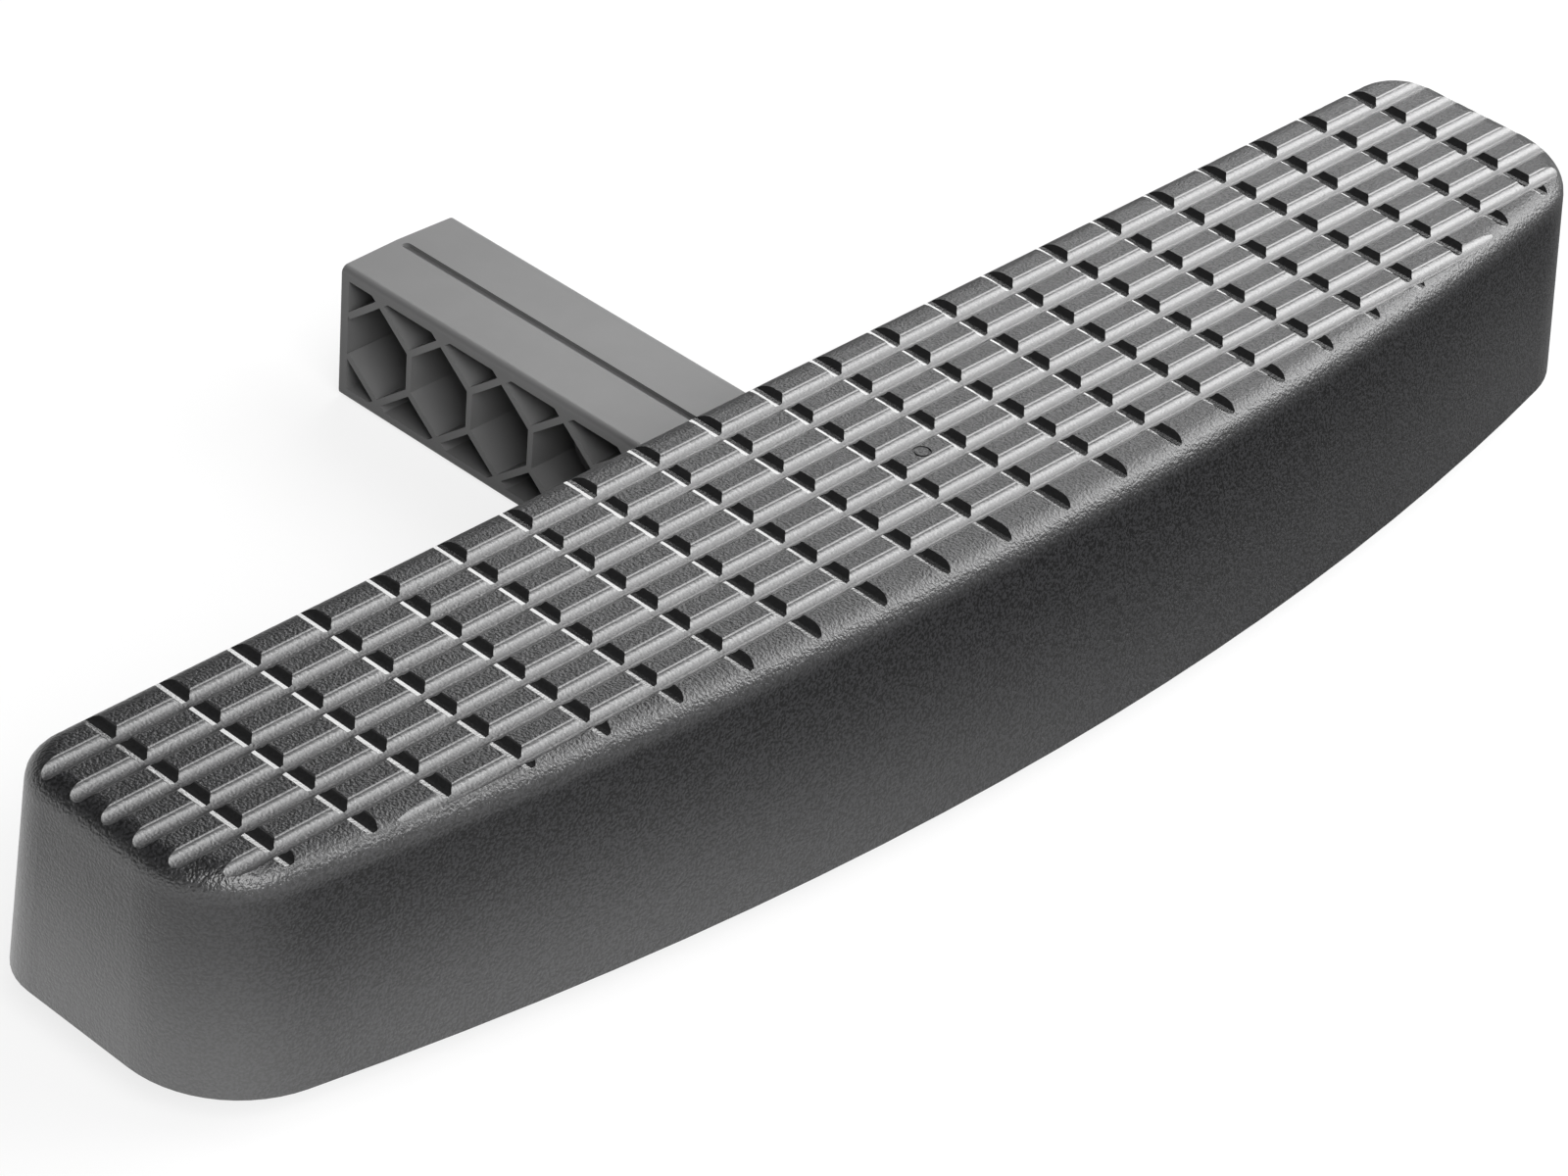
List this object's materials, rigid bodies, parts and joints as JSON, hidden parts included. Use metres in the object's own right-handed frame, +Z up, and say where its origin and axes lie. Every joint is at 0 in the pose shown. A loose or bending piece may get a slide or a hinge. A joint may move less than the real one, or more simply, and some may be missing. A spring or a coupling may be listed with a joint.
{
  "type": "hitch receiver step",
  "caption": "Bowed plastic step with a grooved tread on a square bar with honeycomb sides that slides into a tow hitch receiver.",
  "frame": {"origin": "centre of the hitch pin hole on the bar's axis", "axes": "+X along the tread to the user's right as they face the bowed front, and along the pin hole; +Y along the bar towards its free end; +Z up, from the rim to the tread"},
  "size_m": [0.6178, 0.3012, 0.0874],
  "materials": {
    "body_plastic": "satin black, fine pebbled texture",
    "bar_plastic": "smooth satin grey",
    "bolt_steel": "zinc plated",
    "insert_brass": "satin"
  },
  "bodies": {
    "root": {"step_body": "body_plastic", "hitch_shank": "bar_plastic", "shank_bolt_1": "bolt_steel", "shank_bolt_2": "bolt_steel", "shank_bolt_3": "bolt_steel", "shank_bolt_4": "bolt_steel", "bolt_washer_1": "bolt_steel", "bolt_washer_2": "bolt_steel", "bolt_washer_3": "bolt_steel", "bolt_washer_4": "bolt_steel", "bolt_insert_1": "insert_brass", "bolt_insert_2": "insert_brass", "bolt_insert_3": "insert_brass", "bolt_insert_4": "insert_brass"}
  },
  "joints": []
}
